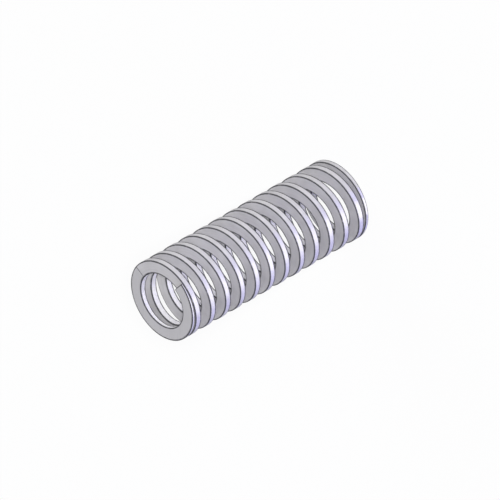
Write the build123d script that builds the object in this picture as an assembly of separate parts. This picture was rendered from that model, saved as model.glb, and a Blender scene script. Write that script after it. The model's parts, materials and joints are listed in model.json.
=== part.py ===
from build123d import *
from build123d.topology import SkipClean
from math import ceil, cos, radians, sin
import os

# A compression spring coiled from one length of flat wire, right-handed, with both ends closed and
# ground flat. It stands on its lower ground face: the origin is the middle of that face, and +Z runs
# up the spring's axis. Lengths are in millimetres and angles in degrees.

# The coil as a whole
outer_diameter = 15.5
bore_diameter = 10.5
free_length = 44.0
active_turns = 11.0
top_tip_angle = 51.4

# The wire is wider across the coil than it is thick along it, and its edges are left sharp
wire_thickness = 1.3

# Each end, measured along the wire from its tip: how far it is coiled closed, how far the coil then
# takes to open to its full pitch, and how far the ground face reaches. The tip itself closes onto the
# next turn, and only a running gap is left between them.
closed_angle = 315.0
opening_angle = 112.0
ground_angle = 263.0
tip_gap = 0.04

# The wire is laid in short straight-sided spans, wide enough that their sides clear the coil's round
# walls, which then trim them
span_angle = 30.0
overshoot = 1.01 / cos(radians(span_angle / 2))

outer_radius = outer_diameter / 2
bore_radius = bore_diameter / 2
half_angle = closed_angle + opening_angle + 180 * active_turns
whole_angle = 2 * half_angle
middle_height = (free_length - wire_thickness) / 2


def openness(from_tip):
    """How open the coil is at an angle in from its nearer tip: 0 where closed, 1 at full pitch."""
    return min(max((from_tip - closed_angle) / opening_angle, 0), 1)


def opened_turns(from_tip):
    """The turns from the tip to an angle in from it, each counted by how open it is."""
    opening = openness(from_tip) ** 2 * opening_angle / 2
    full = max(from_tip - closed_angle - opening_angle, 0)
    return (opening + full) / 360


def coil_pitches():
    """The closed turns' pitch, and how much wider the open turns are pitched.

    Two heights settle them: one turn in from its tip, the wire has climbed clear of the tip, and from
    a ground face to the middle it climbs half the free length.
    """
    clear_of_tip = wire_thickness + tip_gap
    opened_at_tip = opened_turns(360)
    turns = (half_angle - ground_angle) / 360
    opened = opened_turns(half_angle) - opened_turns(ground_angle)
    spread = opened - turns * opened_at_tip
    closed = (clear_of_tip * opened - middle_height * opened_at_tip) / spread
    extra = (middle_height - turns * clear_of_tip) / spread
    return closed, extra


closed_pitch, extra_pitch = coil_pitches()


def rise_from_tip(from_tip):
    """How far the wire climbs over an angle in from its tip."""
    return closed_pitch * from_tip / 360 + extra_pitch * opened_turns(from_tip)


def wire_height(along):
    """Height of the wire's lower face at an angle along it from the lower tip."""
    from_tip = min(along, whole_angle - along)
    from_middle = rise_from_tip(half_angle) - rise_from_tip(from_tip)
    if along < half_angle:
        return middle_height - from_middle
    return middle_height + from_middle


def wire_corners():
    """The untrimmed wire's section as four corners in order round it, each a radius and a lift."""
    inner = bore_radius / overshoot
    outer = outer_radius * overshoot
    return [(inner, 0), (outer, 0), (outer, wire_thickness), (inner, wire_thickness)]


def coil_point(corner, along):
    """Where one corner of the section is at an angle along the wire."""
    radius, lift = corner
    turn = radians(top_tip_angle - whole_angle + along)
    return Vector(radius * cos(turn), radius * sin(turn), wire_height(along) + lift)


def wire_side(corner, next_corner, start, end):
    """The face of one span between two neighbouring corners.

    It is ruled by straight lines square to the axis. Each corner counts by one over its radius, so
    that seen along the axis the face is evenly stretched, and fewer facets draw it.
    """
    points = [[coil_point(corner, along), coil_point(next_corner, along)] for along in (start, end)]
    weights = [[1 / corner[0], 1 / next_corner[0]]] * 2
    return Face.make_bezier_surface(points, weights)


def tip_face(along):
    """The flat end of the wire, in a plane through the spring's axis."""
    return Face(Wire.make_polygon([coil_point(corner, along) for corner in wire_corners()]))


def coiled_wire():
    """The whole wire, coiled and closed at both ends, before it is trimmed and ground."""
    corners = wire_corners()
    sides = list(zip(corners, corners[1:] + corners[:1]))
    spans = ceil(whole_angle / span_angle)
    angles = [whole_angle * span / spans for span in range(spans + 1)]
    faces = [tip_face(0), tip_face(whole_angle)]
    for start, end in zip(angles, angles[1:]):
        faces += [wire_side(corner, next_corner, start, end) for corner, next_corner in sides]
    return Solid(Shell(faces))


def round_wall(radius):
    """A circle about the axis in quarter arcs, so that each strip of wall is a quarter turn long."""
    quarters = (0, 90, 180, 270)
    return Wire([Edge.make_circle(radius, start_angle=start, end_angle=start + 90) for start in quarters])


def spring_envelope():
    """The tube that the finished spring just fills: its outside, its bore and its two ground ends."""
    ring = Face(round_wall(outer_radius), [round_wall(bore_radius)])
    return Solid.extrude(ring, Vector(0, 0, free_length))


def ground_spring():
    """The coiled wire with its round walls trimmed true and both ends ground square to the axis."""
    with SkipClean():
        return coiled_wire() & spring_envelope()


os.makedirs("parts", exist_ok=True)
export_step(ground_spring(), "parts/spring_coil.step")
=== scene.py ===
"""Dresses the flat-wire compression spring and sets it up as the photograph shows it.

The spring stands on its lower ground end, with +Z up its axis. Lengths are in metres and angles in
degrees, unless a name says otherwise.
"""

import json
import logging
import math
from collections.abc import Iterable
from dataclasses import astuple, dataclass
from enum import Enum
from itertools import accumulate

import bpy
from mathutils import Matrix, Vector


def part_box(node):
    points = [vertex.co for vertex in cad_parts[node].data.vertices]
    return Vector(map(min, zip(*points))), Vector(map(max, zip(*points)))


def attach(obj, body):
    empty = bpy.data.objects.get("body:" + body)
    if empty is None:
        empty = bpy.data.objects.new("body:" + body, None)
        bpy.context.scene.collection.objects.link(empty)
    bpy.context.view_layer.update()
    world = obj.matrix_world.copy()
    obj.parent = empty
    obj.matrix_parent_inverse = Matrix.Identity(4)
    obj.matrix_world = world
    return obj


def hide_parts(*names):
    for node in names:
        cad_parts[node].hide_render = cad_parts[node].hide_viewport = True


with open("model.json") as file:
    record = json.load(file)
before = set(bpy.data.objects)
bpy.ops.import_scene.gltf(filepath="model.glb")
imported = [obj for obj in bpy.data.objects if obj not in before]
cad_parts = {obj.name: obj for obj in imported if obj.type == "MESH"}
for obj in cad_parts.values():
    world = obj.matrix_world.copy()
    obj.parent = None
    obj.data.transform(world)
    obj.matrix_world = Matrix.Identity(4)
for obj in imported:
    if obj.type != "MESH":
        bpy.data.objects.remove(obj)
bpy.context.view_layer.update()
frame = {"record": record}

PHOTO_PIXELS = 500
MILLIMETRE = 0.001

# The photograph looks down along a cube's diagonal, from this bearing
CAMERA_AZIMUTH = 45.0

# Noise keeps near its middle, and so much stretching makes it fill 0 to 1
NOISE_STRETCH = 2.6

log = logging.getLogger("spring")

Pair = tuple[float, float]
Point = tuple[float, float, float]
Colour = tuple[float, float, float]
Socket = bpy.types.NodeSocket
Source = Socket | float | tuple[float, ...]


class WireMap(Enum):
    """The names of what the wire's mesh carries for its finish: two maps, and the painted edge shade."""

    ALONG = "wire_map"
    UNROLLED = "OFBake"
    PAINTED_SHADE = "painted_shade_share"


def mount_size(record: dict, mount: str, dimension: str) -> float:
    """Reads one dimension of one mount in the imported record.

    Args:
        record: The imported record.
        mount: The mount's name.
        dimension: The dimension's name, in millimetres.

    Returns:
        The dimension in metres.
    """
    found = next(entry for entry in record["mounts"] if entry["name"] == mount)
    return found["dims"][dimension] * MILLIMETRE


def level_line(azimuth: float) -> Vector:
    """Points a unit vector level along an azimuth."""
    return Vector((math.cos(math.radians(azimuth)), math.sin(math.radians(azimuth)), 0))


@dataclass(frozen=True)
class CoilLaw:
    """How the wire climbs: closed at each end, then opening evenly to the open pitch between them."""

    free_length: float
    wire_thickness: float = 1.3 * MILLIMETRE
    active_turns: float = 11.0
    top_tip_angle: float = 51.4
    closed_angle: float = 315.0
    opening_angle: float = 112.0
    ground_angle: float = 263.0
    tip_gap: float = 0.04 * MILLIMETRE

    @property
    def half_angle(self) -> float:
        """The angle along the wire from a tip to the middle of the spring."""
        return self.closed_angle + self.opening_angle + 180 * self.active_turns

    @property
    def whole_angle(self) -> float:
        """The angle along the wire from tip to tip."""
        return 2 * self.half_angle

    @property
    def middle_height(self) -> float:
        """The height of the wire's lower face at the middle of the spring."""
        return (self.free_length - self.wire_thickness) / 2

    def opened_turns(self, from_tip: float) -> float:
        """Counts the turns from the nearer tip, each by how open it is.

        Args:
            from_tip: The angle in from that tip.

        Returns:
            The turns, where a closed one counts nothing and an open one counts whole.
        """
        openness = min(max((from_tip - self.closed_angle) / self.opening_angle, 0), 1)
        full = max(from_tip - self.closed_angle - self.opening_angle, 0)
        return (openness**2 * self.opening_angle / 2 + full) / 360

    def pitches(self) -> Pair:
        """Works out the pitch of the closed turns and how much wider the open ones are pitched.

        Two heights settle them: one turn in from its tip, the wire has climbed clear of the tip, and
        from a ground face to the middle it climbs half the free length.

        Returns:
            The closed pitch and the extra pitch.
        """
        clear_of_tip = self.wire_thickness + self.tip_gap
        opened_at_tip = self.opened_turns(360)
        turns = (self.half_angle - self.ground_angle) / 360
        opened = self.opened_turns(self.half_angle) - self.opened_turns(self.ground_angle)
        spread = opened - turns * opened_at_tip
        closed = (clear_of_tip * opened - self.middle_height * opened_at_tip) / spread
        extra = (self.middle_height - turns * clear_of_tip) / spread
        return closed, extra

    def height(self, along: float) -> float:
        """Gives the height of the wire's lower face, before the ends are ground.

        Args:
            along: The angle along the wire from the lower tip.

        Returns:
            The height above the lower ground end.
        """
        closed, extra = self.pitches()
        from_tip = min(along, self.whole_angle - along)
        opened = self.opened_turns(self.half_angle) - self.opened_turns(from_tip)
        from_middle = closed * (self.half_angle - from_tip) / 360 + extra * opened
        return self.middle_height - math.copysign(from_middle, self.half_angle - along)

    def turn(self, along: float) -> float:
        """The direction of the wire from the axis, in radians, at an angle along it."""
        return math.radians(self.top_tip_angle - self.whole_angle + along)

    def stations(self, spacing: float) -> list[float]:
        """Lists the angles along the wire at which its section is set out.

        Args:
            spacing: The widest angle between two neighbours.

        Returns:
            The angles, which include each one where the coil or its ground faces change.
        """
        near = [0.0, self.ground_angle, self.closed_angle, self.closed_angle + self.opening_angle]
        marks = near + [self.whole_angle - angle for angle in reversed(near)]
        angles: list[float] = []
        for start, end in zip(marks, marks[1:]):
            steps = math.ceil((end - start) / spacing)
            angles += [start + (end - start) * step / steps for step in range(steps)]
        return angles + [self.whole_angle]


@dataclass(frozen=True)
class SectionPoint:
    """One point of the wire's section: where it is, how far round it is, and its share of painted edge
    shade.
    """

    radius: float
    height: float
    round_from_start: float
    painted_shade: float


@dataclass(frozen=True)
class EdgeRound:
    """The round of one edge: its middle, its own radius, and the angle that it starts at."""

    radius: float
    height: float
    ease: float
    start: float

    def points(self, steps: int) -> list[Pair]:
        """Sets out the round's points.

        Args:
            steps: How many straight steps stand for the round.

        Returns:
            Each point's radius and height, anticlockwise.
        """
        turns = [math.radians(self.start + 90 * step / steps) for step in range(steps + 1)]
        across = [self.radius + self.ease * math.cos(turn) for turn in turns]
        heights = [self.height + self.ease * math.sin(turn) for turn in turns]
        return list(zip(across, heights))


@dataclass(frozen=True)
class PaintedEdgeShade:
    """The painted shade along one edge: its strength, and how far it reaches on the faces before and after.
    """

    strength: float
    before: float
    after: float

    def towards(self, other: "PaintedEdgeShade", share: float) -> "PaintedEdgeShade":
        """Goes from this painted edge shade to another one.

        Args:
            other: The other painted edge shade.
            share: How far to go, from 0 to 1.

        Returns:
            The painted edge shade between them.
        """
        pairs = zip(astuple(self), astuple(other))
        return PaintedEdgeShade(*(mine + (theirs - mine) * share for mine, theirs in pairs))


@dataclass(frozen=True)
class WireSection:
    """The section of the flat wire, whose edges are rounded, the ground ones less than the drawn ones.

    Each edge has its own painted shade, a dark band along it. No band takes more than a share of the
    face that it lies on, so that the thin wall at a tip keeps a bright middle.
    """

    inner_radius: float
    outer_radius: float
    edge_radius: float = 0.12 * MILLIMETRE
    ground_edge: float = 0.08 * MILLIMETRE
    least_round: float = 0.02 * MILLIMETRE
    corner_steps: int = 4
    # Each edge's painted shade: a dark band along it that stands in for the shade at the edge.
    lower_outer: PaintedEdgeShade = PaintedEdgeShade(1.0, 0.12 * MILLIMETRE, 0.20 * MILLIMETRE)
    upper_outer: PaintedEdgeShade = PaintedEdgeShade(0.80, 0.12 * MILLIMETRE, 0.13 * MILLIMETRE)
    upper_inner: PaintedEdgeShade = PaintedEdgeShade(0.85, 0.28 * MILLIMETRE, 0.04 * MILLIMETRE)
    lower_inner: PaintedEdgeShade = PaintedEdgeShade(1.0, 0.24 * MILLIMETRE, 0.12 * MILLIMETRE)
    ground_lower_outer: PaintedEdgeShade = PaintedEdgeShade(1.0, 0.20 * MILLIMETRE, 0.18 * MILLIMETRE)
    ground_upper_outer: PaintedEdgeShade = PaintedEdgeShade(1.0, 0.07 * MILLIMETRE, 0.30 * MILLIMETRE)
    ground_inner: PaintedEdgeShade = PaintedEdgeShade(1.0, 0.18 * MILLIMETRE, 0.16 * MILLIMETRE)
    most_of_face: float = 0.18

    def left_of_edge(self, cut: float) -> float:
        """The share of a drawn edge that is left where the wheel has cut that deep."""
        return max(1 - cut / self.edge_radius, 0)

    def eased(self, cut: float) -> float:
        """The radius of an edge where the wheel has cut that deep below the drawn face."""
        return self.ground_edge + (self.edge_radius - self.ground_edge) * self.left_of_edge(cut)

    def painted_shades(self, cuts: Pair) -> list[PaintedEdgeShade]:
        """Lists the painted shade of each edge, in the order of the rounds.

        Args:
            cuts: How deep the lower and upper faces are ground.

        Returns:
            The painted shades, where a ground edge has one of its own.
        """
        lower, upper = (self.left_of_edge(cut) for cut in cuts)
        return [
            self.ground_lower_outer.towards(self.lower_outer, lower),
            self.ground_upper_outer.towards(self.upper_outer, upper),
            self.ground_inner.towards(self.upper_inner, upper),
            self.ground_inner.towards(self.lower_inner, lower),
        ]

    def rounds(self, faces: Pair, cuts: Pair, inset: float) -> list[EdgeRound]:
        """Places each edge's round, anticlockwise from the lower outer one.

        Args:
            faces: The heights of the lower and upper faces.
            cuts: How deep each of them is ground.
            inset: How far inside the section the points lie.

        Returns:
            The rounds.
        """
        inner, outer = self.inner_radius + inset, self.outer_radius - inset
        low, high = faces[0] + inset, faces[1] - inset
        ease_low, ease_high = (max(self.eased(cut) - inset, self.least_round) for cut in cuts)
        return [
            EdgeRound(outer - ease_low, low + ease_low, ease_low, -90.0),
            EdgeRound(outer - ease_high, high - ease_high, ease_high, 0.0),
            EdgeRound(inner + ease_high, high - ease_high, ease_high, 90.0),
            EdgeRound(inner + ease_low, low + ease_low, ease_low, 180.0),
        ]

    def outline(self, faces: Pair, cuts: Pair, inset: float) -> list[SectionPoint]:
        """Sets out the section's points, anticlockwise from the lower face's outer end.

        Args:
            faces: The heights of the lower and upper faces.
            cuts: How deep each of them is ground.
            inset: How far inside the section the points lie.

        Returns:
            The points, as many for every section.
        """
        arcs = [edge.points(self.corner_steps) for edge in self.rounds(faces, cuts, inset)]
        painted_shades = self.painted_shades(cuts)
        spots: list[tuple[Pair, float]] = []
        for arc, painted_shade, next_arc, next_painted_shade in zip(arcs, painted_shades, arcs[1:] + arcs[:1], painted_shades[1:] + painted_shades[:1]):
            # Each round takes its edge's painted shade, which fades out over the faces beside it.
            spots += [(spot, painted_shade.strength) for spot in arc]
            last, first = Vector(arc[-1]), Vector(next_arc[0])
            reaches = [reach / (first - last).length for reach in (painted_shade.after, next_painted_shade.before)]
            after, before = (min(reach, self.most_of_face) for reach in reaches)
            spots += [(tuple(last.lerp(first, part)), 0.0) for part in (after, 1 - before)]
        steps = [math.dist(near, far) for (near, _), (far, _) in zip(spots, spots[1:])]
        travelled = accumulate(steps, initial=0.0)
        return [SectionPoint(*spot, so_far, painted_shade) for (spot, painted_shade), so_far in zip(spots, travelled)]


@dataclass(frozen=True)
class Station:
    """A place along the wire: its angle, how far its section is drawn in, and its share of painted edge
    shade.
    """

    along: float
    inset: float = 0.0
    painted_shade: float = 0.0


@dataclass(frozen=True)
class UnrolledSheet:
    """A square sheet on which the wire lies unrolled in rows, so that no part covers another."""

    girth: float
    rows: int = 9
    gap: float = 0.3 * MILLIMETRE

    def starts(self, lengths: list[float]) -> list[float]:
        """Finds where each station's row starts.

        Args:
            lengths: Each station's distance along the wire.

        Returns:
            For each station, the distance along the wire at which its row starts.
        """
        in_a_row = math.ceil(len(lengths) / self.rows)
        return [lengths[index - index % in_a_row] for index in range(len(lengths))]

    def row_length(self, lengths: list[float]) -> float:
        """The length of the longest row, with the face that crosses into the next one."""
        starts = self.starts(lengths)
        return max(after - start for after, start in zip(lengths[1:], starts))

    def side(self, lengths: list[float]) -> float:
        """The side of the sheet, which leaves room past the rows for the two tip faces."""
        across = self.row_length(lengths) + self.girth
        return max(self.rows * (self.girth + self.gap), across) + 2 * self.gap


@dataclass
class FlatWireSpring:
    """The spring: one flat wire coiled round the axis, with both ends closed and ground."""

    law: CoilLaw
    section: WireSection
    station_spacing: float = 3.0
    tip_ease: float = 0.09 * MILLIMETRE
    tip_painted_shade: float = 0.04 * MILLIMETRE
    sharp_angle: float = 35.0
    name: str = "spring_wire"

    @property
    def mean_radius(self) -> float:
        """The radius of the middle of the wire."""
        return (self.section.inner_radius + self.section.outer_radius) / 2

    def stations(self) -> list[Station]:
        """Lists the stations, with a small bevel round each tip's own face, painted dark as shade.

        Returns:
            The stations, from the lower tip to the upper one.
        """
        back = math.degrees(self.tip_ease / self.mean_radius)
        angles = self.law.stations(self.station_spacing)
        face, rim = self.tip_ease + self.tip_painted_shade, self.tip_ease
        tips: list[list[Station]] = []
        for tip, way in ((angles[0], back), (angles[-1], -back)):
            # The tip's bevel is painted dark, as shade round the tip.
            bevel = [Station(tip, face), Station(tip, rim, 1.0), Station(tip + way, 0.0, 1.0)]
            tips.append(bevel + [Station(tip + 2 * way)])
        return tips[0] + [Station(angle) for angle in angles[1:-1]] + tips[1][::-1]

    def ring(self, station: Station) -> list[SectionPoint]:
        """Sets out the section at one station, with the ground ends taken off it.

        Args:
            station: The station.

        Returns:
            The section's points there.
        """
        low = self.law.height(station.along)
        high = low + self.law.wire_thickness
        cuts = (max(-low, 0), max(high - self.law.free_length, 0))
        return self.section.outline((low + cuts[0], high - cuts[1]), cuts, station.inset)

    def place(self, point: SectionPoint, along: float) -> Point:
        """Carries a point of the section to its place on the coil.

        Args:
            point: The point.
            along: The angle along the wire from the lower tip.

        Returns:
            Its x, y and z.
        """
        turn = self.law.turn(along)
        return (point.radius * math.cos(turn), point.radius * math.sin(turn), point.height)

    def skin(self, rings: int, count: int) -> list[tuple[int, ...]]:
        """Joins each ring of points to the next one, and closes both tips.

        Args:
            rings: How many rings there are.
            count: How many points each ring has.

        Returns:
            The faces, which all look outwards.
        """
        last = (rings - 1) * count
        faces: list[tuple[int, ...]] = []
        for near in range(0, last, count):
            for spot in range(count):
                beside = (spot + 1) % count
                faces.append((near + spot, near + count + spot, near + count + beside, near + beside))
        faces.append(tuple(range(count)))
        faces.append(tuple(reversed(range(last, last + count))))
        return faces

    def build(self) -> bpy.types.Object:
        """Builds the wire's mesh.

        Returns:
            The wire, linked into the scene.
        """
        stations = self.stations()
        rings = [self.ring(station) for station in stations]
        points: list[Point] = []
        for station, ring in zip(stations, rings):
            points += [self.place(point, station.along) for point in ring]
        mesh = bpy.data.meshes.new(self.name)
        mesh.from_pydata(points, [], self.skin(len(rings), len(rings[0])))
        mesh.shade_smooth()
        mesh.set_sharp_from_angle(angle=math.radians(self.sharp_angle))
        self.mark_painted_shade(mesh, rings, stations)
        self.map_wire(mesh, rings, stations)
        wire = bpy.data.objects.new(self.name, mesh)
        bpy.context.scene.collection.objects.link(wire)
        return wire

    def mark_painted_shade(
        self, mesh: bpy.types.Mesh, rings: list[list[SectionPoint]], stations: list[Station]
    ) -> None:
        """Gives each point of the mesh its share of painted edge shade.

        Args:
            mesh: The wire's mesh.
            rings: The section's points at each station.
            stations: The stations.
        """
        shares = [max(point.painted_shade, at.painted_shade) for ring, at in zip(rings, stations) for point in ring]
        mesh.attributes.new(WireMap.PAINTED_SHADE.value, "FLOAT", "POINT").data.foreach_set("value", shares)

    def map_wire(
        self, mesh: bpy.types.Mesh, rings: list[list[SectionPoint]], stations: list[Station]
    ) -> None:
        """Gives the mesh its map along and round the wire, and the same map cut into rows.

        Args:
            mesh: The wire's mesh.
            rings: The section's points at each station.
            stations: The stations.
        """
        count = len(rings[0])
        middle = rings[len(rings) // 2]
        rounds = [point.round_from_start for point in middle]
        first, last = middle[0], middle[-1]
        girth = rounds[-1] + math.dist((last.radius, last.height), (first.radius, first.height))
        lengths = [math.radians(station.along) * self.mean_radius for station in stations]
        sheet = UnrolledSheet(girth)
        starts, side = sheet.starts(lengths), sheet.side(lengths)
        row_starts = sorted(set(starts))
        past_rows = sheet.row_length(lengths) + 2 * sheet.gap
        along: list[float] = []
        unrolled: list[float] = []
        for polygon in mesh.polygons:
            spots = [divmod(mesh.loops[loop].vertex_index, count) for loop in polygon.loop_indices]
            station = min(index for index, _ in spots)
            if len(spots) == count:
                points = [rings[index][spot] for index, spot in spots]
                flat = [(point.radius - self.section.inner_radius, point.height) for point in points]
                lowest = min(height for _, height in flat)
                shift = (past_rows, sheet.gap - lowest + bool(station) * girth)
            else:
                wraps = {spot for _, spot in spots} == {0, count - 1}
                ends = [girth if wraps and spot == 0 else rounds[spot] for _, spot in spots]
                flat = [(lengths[index], end) for (index, _), end in zip(spots, ends)]
                row = row_starts.index(starts[station])
                shift = (sheet.gap - starts[station], sheet.gap + row * (girth + sheet.gap))
            for pair in flat:
                along += pair
                unrolled += [(pair[0] + shift[0]) / side, (pair[1] + shift[1]) / side]
        mesh.uv_layers.new(name=WireMap.ALONG.value).data.foreach_set("uv", along)
        mesh.uv_layers.new(name=WireMap.UNROLLED.value).data.foreach_set("uv", unrolled)

    def dress(self, wire: bpy.types.Object, material: bpy.types.Material) -> None:
        """Gives the wire its finish and its place in the frame.

        Args:
            wire: The wire.
            material: Its finish.
        """
        wire.data.materials.append(material)
        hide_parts("spring_coil")
        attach(wire, "root")


class NodeSheet:
    """A node tree under construction, with short ways to add nodes, join them and do sums."""

    def __init__(self, tree: bpy.types.NodeTree) -> None:
        """Starts on an empty or a ready tree."""
        self.tree = tree

    def add(self, kind: str, **settings: object) -> bpy.types.Node:
        """Adds a node.

        Args:
            kind: The node's type name.
            **settings: Its properties.

        Returns:
            The node.
        """
        node = self.tree.nodes.new(kind)
        for name, value in settings.items():
            setattr(node, name, value)
        return node

    def feed(self, target: Socket, source: Source) -> None:
        """Joins a socket to a target, or sets the target's own value.

        Args:
            target: The input to feed.
            source: The socket, or the value.
        """
        if isinstance(source, Socket):
            self.tree.links.new(source, target)
        else:
            target.default_value = source

    def sum(self, operation: str, *terms: Source, clamp: bool = False) -> Socket:
        """Adds a Math node.

        Args:
            operation: What it does.
            *terms: Its sockets or numbers, in order.
            clamp: Whether the result is kept between 0 and 1.

        Returns:
            The result.
        """
        node = self.add("ShaderNodeMath", operation=operation, use_clamp=clamp)
        for socket, term in zip(node.inputs, terms):
            self.feed(socket, term)
        return node.outputs[0]

    def scaled(self, vector: Socket, scale: Source) -> Socket:
        """Multiplies a vector by a number.

        Args:
            vector: The vector.
            scale: The number.

        Returns:
            The product.
        """
        node = self.add("ShaderNodeVectorMath", operation="SCALE")
        self.feed(node.inputs[0], vector)
        self.feed(node.inputs["Scale"], scale)
        return node.outputs[0]

    def split(self, vector: Socket) -> bpy.types.bpy_prop_collection:
        """Takes a vector apart.

        Args:
            vector: The vector.

        Returns:
            Its three parts.
        """
        node = self.add("ShaderNodeSeparateXYZ")
        self.feed(node.inputs[0], vector)
        return node.outputs

    def join(self, *parts: Source) -> Socket:
        """Makes a vector of its parts.

        Args:
            *parts: The parts, of which a missing one is 0.

        Returns:
            The vector.
        """
        node = self.add("ShaderNodeCombineXYZ")
        for socket, part in zip(node.inputs, parts):
            self.feed(socket, part)
        return node.outputs[0]

    def place(self) -> Socket:
        """The place of a point on the piece, in metres in the frame."""
        return self.add("ShaderNodeTexCoord").outputs["Object"]

    def noise(self, where: Socket, detail: float, scale: float = 1.0) -> Socket:
        """Adds a noise.

        Args:
            where: The place to read it at.
            detail: How many finer layers it has.
            scale: How many of its cells there are to one step of the place.

        Returns:
            Its value, which keeps near the middle of 0 to 1.
        """
        node = self.add("ShaderNodeTexNoise")
        node.inputs["Scale"].default_value = scale
        node.inputs["Detail"].default_value = detail
        self.feed(node.inputs["Vector"], where)
        return node.outputs[0]

    def stretched(self, noise: Socket) -> Socket:
        """Stretches a noise about its middle until it fills 0 to 1."""
        return self.sum("MULTIPLY_ADD", noise, NOISE_STRETCH, (1 - NOISE_STRETCH) / 2, clamp=True)

    def blend(self, share: Source, plain: Source, other: Source) -> Socket:
        """Goes from one number to another.

        Args:
            share: How far to go, from 0 to 1.
            plain: The number at 0.
            other: The number at 1.

        Returns:
            The number between.
        """
        node = self.add("ShaderNodeMix")
        for index, source in zip((0, 2, 3), (share, plain, other)):
            self.feed(node.inputs[index], source)
        return node.outputs[0]

    def mix(self, share: Source, plain: Source, other: Source) -> Socket:
        """Mixes two colours.

        Args:
            share: How far to go, from 0 to 1.
            plain: The colour at 0.
            other: The colour at 1.

        Returns:
            The mixture.
        """
        node = self.add("ShaderNodeMix", data_type="RGBA")
        self.feed(node.inputs[0], share)
        for index, source in zip((6, 7), (plain, other)):
            self.feed(node.inputs[index], source if isinstance(source, Socket) else (*source, 1))
        return node.outputs[2]

    def use(self, group: bpy.types.NodeTree, **values: Source) -> bpy.types.bpy_prop_collection:
        """Places a node group.

        Args:
            group: The group.
            **values: Its inputs' sockets or values, by name with _ for each space.

        Returns:
            The group's outputs.
        """
        node = self.add("ShaderNodeGroup", node_tree=group)
        for name, value in values.items():
            self.feed(node.inputs[name.replace("_", " ")], value)
        return node.outputs


class GroupSheet(NodeSheet):
    """A shader node group under construction. All its outputs are numbers."""

    def __init__(
        self, name: str, numbers: dict[str, float], outputs: Iterable[str], maps: Iterable[str] = ()
    ) -> None:
        """Starts the group.

        Args:
            name: The group's name.
            numbers: The name and the usual value of each input that is a number.
            outputs: Each output's name.
            maps: The name of each input that is a map.
        """
        super().__init__(bpy.data.node_groups.new(name, "ShaderNodeTree"))
        for label in maps:
            self.tree.interface.new_socket(label, in_out="INPUT", socket_type="NodeSocketVector")
        for label, usual in numbers.items():
            socket = self.tree.interface.new_socket(label, in_out="INPUT", socket_type="NodeSocketFloat")
            socket.default_value = usual
        for label in outputs:
            self.tree.interface.new_socket(label, in_out="OUTPUT", socket_type="NodeSocketFloat")
        self.given = self.add("NodeGroupInput").outputs

    def finish(self, **results: Socket) -> bpy.types.NodeTree:
        """Joins the results to the outputs.

        Args:
            **results: Each result, by its output's name with _ for each space.

        Returns:
            The group.
        """
        outlet = self.add("NodeGroupOutput").inputs
        for name, result in results.items():
            self.feed(outlet[name.replace("_", " ")], result)
        return self.tree


def drawn_grain_group() -> bpy.types.NodeTree:
    """Builds the fine lines that drawing and rolling leave along the wire.

    Returns:
        The group. Its Lines are 0 in a groove and 1 on a ridge.
    """
    usual = {"Lines per Millimetre": 7, "Run": 0.12, "Broad Share": 0.45}
    broad_to_fine = 0.31
    sheet = GroupSheet("drawn_grain", usual, ["Lines"], ["Wire Map"])
    along, across, _ = sheet.split(sheet.scaled(sheet.given["Wire Map"], 1 / MILLIMETRE))
    run = sheet.sum("MULTIPLY", along, sheet.given["Run"])
    lines = sheet.join(run, sheet.sum("MULTIPLY", across, sheet.given["Lines per Millimetre"]))
    fine = sheet.noise(lines, detail=2.0)
    broad = sheet.noise(lines, detail=1.0, scale=broad_to_fine)
    return sheet.finish(Lines=sheet.stretched(sheet.blend(sheet.given["Broad Share"], fine, broad)))


def ground_end_group() -> bpy.types.NodeTree:
    """Builds the mask and the arc marks of the two faces that a wheel has ground.

    Returns:
        The group. Ground is 1 on the ground faces, Marks are the wheel's lines there, and Run Out is 1
        along the line where a ground face meets the wire's own flank.
    """
    usual = {"Free Length": 0.044, "Wheel Radius": 0.09, "Marks per Millimetre": 6}
    ground_depth = 0.003 * MILLIMETRE
    run_out_depth = 0.009 * MILLIMETRE
    cells_along_marks = 0.1 / MILLIMETRE
    sheet = GroupSheet("ground_end", usual, ["Ground", "Marks", "Run Out"])
    across, beside, height = sheet.split(sheet.place())
    middle = sheet.sum("DIVIDE", sheet.given["Free Length"], 2)
    to_end = sheet.sum("SUBTRACT", middle, sheet.sum("ABSOLUTE", sheet.sum("SUBTRACT", height, middle)))
    ground = sheet.sum("LESS_THAN", to_end, ground_depth)
    past = sheet.sum("LESS_THAN", to_end, run_out_depth)
    from_wheel = sheet.sum("ADD", across, sheet.given["Wheel Radius"])
    squares = sheet.sum("MULTIPLY_ADD", from_wheel, from_wheel, sheet.sum("MULTIPLY", beside, beside))
    per_metre = sheet.sum("DIVIDE", sheet.given["Marks per Millimetre"], MILLIMETRE)
    reach = sheet.sum("MULTIPLY", sheet.sum("SQRT", squares), per_metre)
    marks = sheet.noise(sheet.join(reach, sheet.sum("MULTIPLY", beside, cells_along_marks)), detail=3.0)
    run_out = sheet.sum("SUBTRACT", past, ground)
    return sheet.finish(Ground=ground, Marks=sheet.stretched(marks), Run_Out=run_out)


def bore_wall_group() -> bpy.types.NodeTree:
    """Builds the mask of the inner wall, onto which the finish paints light.

    Returns:
        The group. Its output is 1 on that wall.
    """
    bore_wall_depth = 0.02 * MILLIMETRE
    sheet = GroupSheet("bore_wall_mask", {"Bore Radius": 0.00525}, ["Pressed"])
    across, beside, _ = sheet.split(sheet.place())
    squares = sheet.sum("MULTIPLY_ADD", across, across, sheet.sum("MULTIPLY", beside, beside))
    from_wall = sheet.sum("SUBTRACT", sheet.sum("SQRT", squares), sheet.given["Bore Radius"])
    return sheet.finish(Pressed=sheet.sum("LESS_THAN", from_wall, bore_wall_depth))


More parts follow.
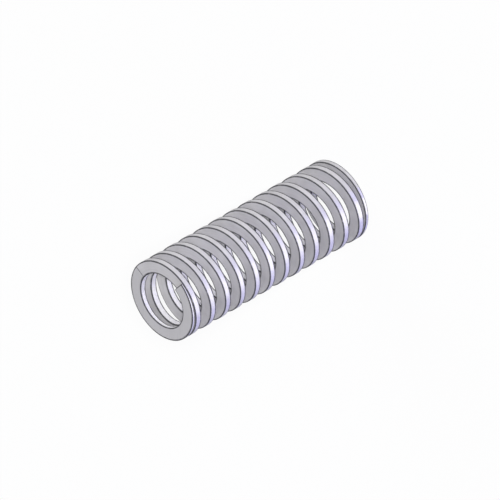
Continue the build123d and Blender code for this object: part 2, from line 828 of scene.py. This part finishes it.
def cloud_group() -> bpy.types.NodeTree:
    """Builds the soft cloudiness of handled bright steel.

    Returns:
        The group. Its Cloud varies between 0 and 1.
    """
    sheet = GroupSheet("steel_cloud", {"Clouds per Millimetre": 0.35}, ["Cloud"])
    per_metre = sheet.sum("DIVIDE", sheet.given["Clouds per Millimetre"], MILLIMETRE)
    cloud = sheet.noise(sheet.scaled(sheet.place(), per_metre), detail=3.0)
    return sheet.finish(Cloud=sheet.stretched(cloud))


@dataclass(frozen=True)
class SurfaceMasks:
    """What varies over the wire, each from 0 to 1: marks, tone, finishes, and painted light and shade."""

    marks: Socket
    tone: Socket
    ground: Socket
    painted_bore_light: Socket
    painted_shade: Socket


@dataclass(frozen=True)
class SpringSteelFinish:
    """Rolled flat spring wire: satin on its faces, ground at its ends, and painted shade along its edges.

    The painted shade is laid on thicker than the edges need, and a noise takes the surplus off in
    places, which narrows it there.
    """

    name: str = "spring_steel"
    steel: Colour = (0.65, 0.64, 0.657)
    shaded: Colour = (0.50, 0.49, 0.506)
    ground: Colour = (0.53, 0.525, 0.54)
    # Painted light: the bore wall is coloured lighter, in place of the light that the coils keep off it.
    painted_bore_light: Colour = (0.90, 0.89, 0.92)
    # Painted shade: the dark colour laid along the edges in place of the shade there.
    painted_edge_shade: Colour = (0.05, 0.05, 0.055)
    cloud_share: float = 0.5
    ground_share: float = 0.6
    painted_bore_light_share: float = 0.85
    # Painted edge shade: thickness, thinning by a noise, the noise's scale, and strength at each run-out.
    painted_shade_gain: float = 1.9
    painted_shade_thinning: float = 0.9
    shade_breakup_per_millimetre: float = 1.6
    run_out_painted_shade: float = 0.8
    metal: float = 0.4
    roughness: float = 0.40
    ground_roughness: float = 0.34
    bore_roughness: float = 0.32
    edge_roughness: float = 0.65
    marks_in_roughness: float = 0.14
    relief: float = 0.35
    relief_depth: float = 0.01 * MILLIMETRE
    bore_relief: float = 0.4

    def masks(self, sheet: NodeSheet, free_length: float, bore_radius: float) -> SurfaceMasks:
        """Places the effects of which the finish is made.

        Args:
            sheet: The material's node tree.
            free_length: The height of the upper ground end.
            bore_radius: The radius of the inner wall.

        Returns:
            The effects' masks.
        """
        wire_map = sheet.add("ShaderNodeUVMap", uv_map=WireMap.ALONG.value).outputs[0]
        edge = sheet.add("ShaderNodeAttribute", attribute_name=WireMap.PAINTED_SHADE.value).outputs["Fac"]
        grain = sheet.use(drawn_grain_group(), Wire_Map=wire_map)["Lines"]
        ends = sheet.use(ground_end_group(), Free_Length=free_length)
        # Where light is painted onto the bore wall.
        painted_bore_light = sheet.use(bore_wall_group(), Bore_Radius=bore_radius)["Pressed"]
        clouds = cloud_group()
        cloud = sheet.use(clouds)["Cloud"]
        shade_breakup = sheet.use(clouds, Clouds_per_Millimetre=self.shade_breakup_per_millimetre)["Cloud"]
        marks = sheet.blend(ends["Ground"], grain, ends["Marks"])
        tone = sheet.blend(self.cloud_share, marks, cloud)
        # Painted shade: a dark band along each edge, thinned in places by a noise, and along each ground
        # face's run-out.
        left = sheet.sum("MULTIPLY_ADD", shade_breakup, -self.painted_shade_thinning, self.painted_shade_gain)
        painted_shade = sheet.sum("MULTIPLY", edge, left, clamp=True)
        painted_shade = sheet.sum("MAXIMUM", painted_shade, sheet.sum("MULTIPLY", ends["Run Out"], self.run_out_painted_shade))
        return SurfaceMasks(marks, tone, ends["Ground"], painted_bore_light, painted_shade)

    def colour(self, sheet: NodeSheet, masks: SurfaceMasks) -> Socket:
        """Colours the wire's faces and ground ends, paints light on its bore wall and shade along its
        edges.

        Args:
            sheet: The material's node tree.
            masks: The effects' masks.

        Returns:
            The colour.
        """
        drawn = sheet.mix(masks.tone, self.shaded, self.steel)
        # Painted light on the bore wall.
        bore_lit = sheet.mix(sheet.sum("MULTIPLY", masks.painted_bore_light, self.painted_bore_light_share), drawn, self.painted_bore_light)
        plain = sheet.mix(sheet.sum("MULTIPLY", masks.ground, self.ground_share), bore_lit, self.ground)
        # Painted shade along the edges.
        return sheet.mix(masks.painted_shade, plain, self.painted_edge_shade)

    def gloss(self, sheet: NodeSheet, masks: SurfaceMasks) -> Socket:
        """Sets how rough each face is, and how the fine marks vary it.

        Args:
            sheet: The material's node tree.
            masks: The effects' masks.

        Returns:
            The roughness.
        """
        rough = sheet.blend(masks.painted_bore_light, self.roughness, self.bore_roughness)
        rough = sheet.blend(masks.ground, rough, self.ground_roughness)
        off_middle = sheet.sum("SUBTRACT", masks.marks, 0.5)
        rough = sheet.sum("MULTIPLY_ADD", off_middle, self.marks_in_roughness, rough)
        return sheet.blend(masks.painted_shade, rough, self.edge_roughness)

    def normal(self, sheet: NodeSheet, masks: SurfaceMasks) -> Socket:
        """Raises the fine marks, less so on the bore wall.

        Args:
            sheet: The material's node tree.
            masks: The effects' masks.

        Returns:
            The surface's normal.
        """
        bump = sheet.add("ShaderNodeBump")
        bump.inputs["Strength"].default_value = self.relief
        bump.inputs["Distance"].default_value = self.relief_depth
        raised = sheet.blend(masks.painted_bore_light, 1.0, self.bore_relief)
        sheet.feed(bump.inputs["Height"], sheet.sum("MULTIPLY", masks.marks, raised))
        return bump.outputs[0]

    def make(self, free_length: float, bore_radius: float) -> bpy.types.Material:
        """Builds the material.

        Args:
            free_length: The height of the upper ground end.
            bore_radius: The radius of the inner wall.

        Returns:
            The material.
        """
        material = bpy.data.materials.new(self.name)
        material.use_nodes = True
        sheet = NodeSheet(material.node_tree)
        shader = material.node_tree.nodes["Principled BSDF"]
        masks = self.masks(sheet, free_length, bore_radius)
        sheet.feed(shader.inputs["Base Color"], self.colour(sheet, masks))
        sheet.feed(shader.inputs["Roughness"], self.gloss(sheet, masks))
        sheet.feed(shader.inputs["Metallic"], sheet.blend(masks.painted_shade, self.metal, 0.0))
        sheet.feed(shader.inputs["Normal"], self.normal(sheet, masks))
        return material


@dataclass(frozen=True)
class SoftLight:
    """A broad soft light that is far off. Only a mirrored one shows as an image in the steel."""

    name: str
    azimuth: float
    elevation: float
    strength: float
    breadth: float
    tint: Colour = (1.0, 1.0, 1.0)
    mirrored: bool = False

    def hang(self) -> None:
        """Puts the light into the scene."""
        data = bpy.data.lights.new(self.name, "SUN")
        data.energy = self.strength
        data.angle = math.radians(self.breadth)
        data.color = self.tint
        lamp = bpy.data.objects.new(self.name, data)
        elevation = math.radians(self.elevation)
        lamp.location = level_line(self.azimuth) * math.cos(elevation) + Vector((0, 0, math.sin(elevation)))
        lamp.rotation_euler = lamp.location.to_track_quat("Z", "Y").to_euler()
        lamp.visible_glossy = self.mirrored
        bpy.context.scene.collection.objects.link(lamp)


def studio_piece(
    name: str, corners: list[Point] | list[Vector], faces: list[tuple[int, ...]]
) -> bpy.types.Object:
    """Builds a piece of the studio, which isn't part of the spring.

    Args:
        name: Its name.
        corners: Its corners.
        faces: Its faces.

    Returns:
        The piece, linked into the scene.
    """
    mesh = bpy.data.meshes.new(name)
    mesh.from_pydata(corners, [], faces)
    piece = bpy.data.objects.new(name, mesh)
    bpy.context.scene.collection.objects.link(piece)
    return piece


@dataclass(frozen=True)
class GlowCard:
    """A card on the floor that glows upwards, which the camera can't see but the round walls mirror.

    It starts at the foot of the spring and follows the photograph's lines of sight as the walls mirror
    them, so that the turns mirror it over the same bearings at every height.
    """

    name: str
    bearings: Pair
    lift: float
    colour: Colour
    strength: float
    start: float = 7.78 * MILLIMETRE
    length: float = 100 * MILLIMETRE
    steps: int = 24

    def glow(self) -> bpy.types.Material:
        """Builds the card's glow, which only its upper side has.

        Returns:
            The material.
        """
        material = bpy.data.materials.new(self.name)
        material.use_nodes = True
        sheet = NodeSheet(material.node_tree)
        shader = material.node_tree.nodes["Principled BSDF"]
        shader.inputs["Base Color"].default_value = (0, 0, 0, 1)
        shader.inputs["Emission Color"].default_value = (*self.colour, 1)
        behind = sheet.add("ShaderNodeNewGeometry").outputs["Backfacing"]
        upwards = sheet.sum("SUBTRACT", 1.0, behind)
        sheet.feed(shader.inputs["Emission Strength"], sheet.sum("MULTIPLY", upwards, self.strength))
        return material

    def lay(self) -> None:
        """Puts the card into the scene."""
        first, last = self.bearings
        corners: list[Vector] = []
        for step in range(self.steps + 1):
            bearing = first + (last - first) * step / self.steps
            near = level_line(bearing) * self.start + Vector((0, 0, self.lift))
            corners += [near, near + level_line(2 * bearing - CAMERA_AZIMUTH) * self.length]
        faces = [(near, near + 1, near + 3, near + 2) for near in range(0, 2 * self.steps, 2)]
        card = studio_piece(self.name, corners, faces)
        card.data.materials.append(self.glow())
        card.visible_camera = False
        card.visible_shadow = False
        card.visible_diffuse = False


@dataclass(frozen=True)
class Studio:
    """The pale floor, the soft light and the camera."""

    pixels_per_metre: float = 5.65 / MILLIMETRE
    lens: float = 1600.0
    sensor: float = 36.0
    nearest_seen: float = 0.5
    farthest_seen: float = 3.0
    object_pixel: Pair = (249.85, 250.1)
    floor_half: float = 6.0
    floor_paint: float = 0.07
    floor_bounce: float = 0.48
    floor_glow: float = 0.905
    floor_roughness: float = 0.9
    backdrop: Colour = (0.98, 0.98, 0.98)
    sky: Colour = (0.35, 0.35, 0.355)
    cards: tuple[GlowCard, ...] = (
        GlowCard("white_card", (5.0, 29.5), 0.10 * MILLIMETRE, (1.0, 0.99, 1.0), 2.4),
        GlowCard("lavender_card", (-22.5, 45.0), 0.05 * MILLIMETRE, (0.5, 0.47, 1.0), 1.35),
    )
    lights: tuple[SoftLight, ...] = (
        SoftLight("key", 45.0, 35.26, 4.0, 5.0),
        SoftLight("side", 0.0, 4.0, 1.3, 40.0, (0.3, 0.28, 1.0), mirrored=True),
        SoftLight("fill", 135.0, 12.0, 1.4, 50.0),
    )

    def paint(self) -> bpy.types.Material:
        """Builds the floor's paint, which glows for the camera so that shadows on it stay faint.

        Returns:
            The material.
        """
        material = bpy.data.materials.new("floor_paint")
        material.use_nodes = True
        sheet = NodeSheet(material.node_tree)
        shader = material.node_tree.nodes["Principled BSDF"]
        seen = sheet.add("ShaderNodeLightPath").outputs["Is Camera Ray"]
        colour = sheet.mix(seen, (self.floor_bounce,) * 3, (self.floor_paint,) * 3)
        sheet.feed(shader.inputs["Base Color"], colour)
        shader.inputs["Emission Color"].default_value = (1, 1, 1, 1)
        sheet.feed(shader.inputs["Emission Strength"], sheet.sum("MULTIPLY", seen, self.floor_glow))
        shader.inputs["Roughness"].default_value = self.floor_roughness
        shader.inputs["Specular IOR Level"].default_value = 0.0
        return material

    def lay_floor(self) -> None:
        """Lays the plain floor."""
        half = self.floor_half
        corners = [(-half, -half, 0), (half, -half, 0), (half, half, 0), (-half, half, 0)]
        floor = studio_piece("floor", corners, [(0, 1, 2, 3)])
        floor.data.materials.append(self.paint())

    def light(self) -> None:
        """Sets the sky, the soft lights and the cards."""
        world = bpy.data.worlds.new("studio")
        world.use_nodes = True
        sheet = NodeSheet(world.node_tree)
        seen = sheet.add("ShaderNodeLightPath").outputs["Is Camera Ray"]
        colour = sheet.mix(seen, self.sky, self.backdrop)
        sheet.feed(world.node_tree.nodes["Background"].inputs[0], colour)
        bpy.context.scene.world = world
        for light in self.lights:
            light.hang()
        for card in self.cards:
            card.lay()

    def set_camera(self, centre: Vector) -> None:
        """Aims a long lens along the photograph's line of sight.

        Args:
            centre: The middle of the spring.
        """
        data = bpy.data.cameras.new("camera")
        data.lens = self.lens
        data.sensor_width = self.sensor
        distance = PHOTO_PIXELS / self.pixels_per_metre * self.lens / self.sensor
        data.clip_start, data.clip_end = distance * self.nearest_seen, distance * self.farthest_seen
        right = Vector((1, 0, -1)).normalized()
        up = Vector((-1, 2, -1)).normalized()
        back = Vector((1, 1, 1)).normalized()
        across = (PHOTO_PIXELS / 2 - self.object_pixel[0]) / self.pixels_per_metre
        upward = (self.object_pixel[1] - PHOTO_PIXELS / 2) / self.pixels_per_metre
        place = centre + back * distance + right * across + up * upward
        camera = bpy.data.objects.new("camera", data)
        camera.matrix_world = Matrix.Translation(place) @ Matrix((right, up, back)).transposed().to_4x4()
        bpy.context.scene.collection.objects.link(camera)
        bpy.context.scene.camera = camera

    def set_tones(self) -> None:
        """Shows the colours plainly, as the photograph does."""
        settings = bpy.context.scene.view_settings
        settings.view_transform = "Standard"
        settings.look = "None"
        settings.exposure = 0.0
        settings.gamma = 1.0


def main() -> None:
    """Builds the spring and the studio, and reports each piece."""
    logging.basicConfig(level=logging.INFO, format="%(name)s: %(message)s")
    low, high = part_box("spring_coil")
    bore_radius = mount_size(frame["record"], "rod_bore", "r_mm")
    outer_radius = mount_size(frame["record"], "pocket_outside", "r_mm")
    law = CoilLaw(free_length=high[2] - low[2])
    spring = FlatWireSpring(law, WireSection(bore_radius, outer_radius))
    wire = spring.build()
    spring.dress(wire, SpringSteelFinish().make(law.free_length, bore_radius))
    log.info("%s: %d faces", wire.name, len(wire.data.polygons))
    studio = Studio()
    studio.lay_floor()
    studio.light()
    studio.set_camera((Vector(low) + Vector(high)) / 2)
    studio.set_tones()
    log.info("studio: floor, %d cards, %d lights, camera", len(studio.cards), len(studio.lights))


if __name__ == "__main__":
    main()
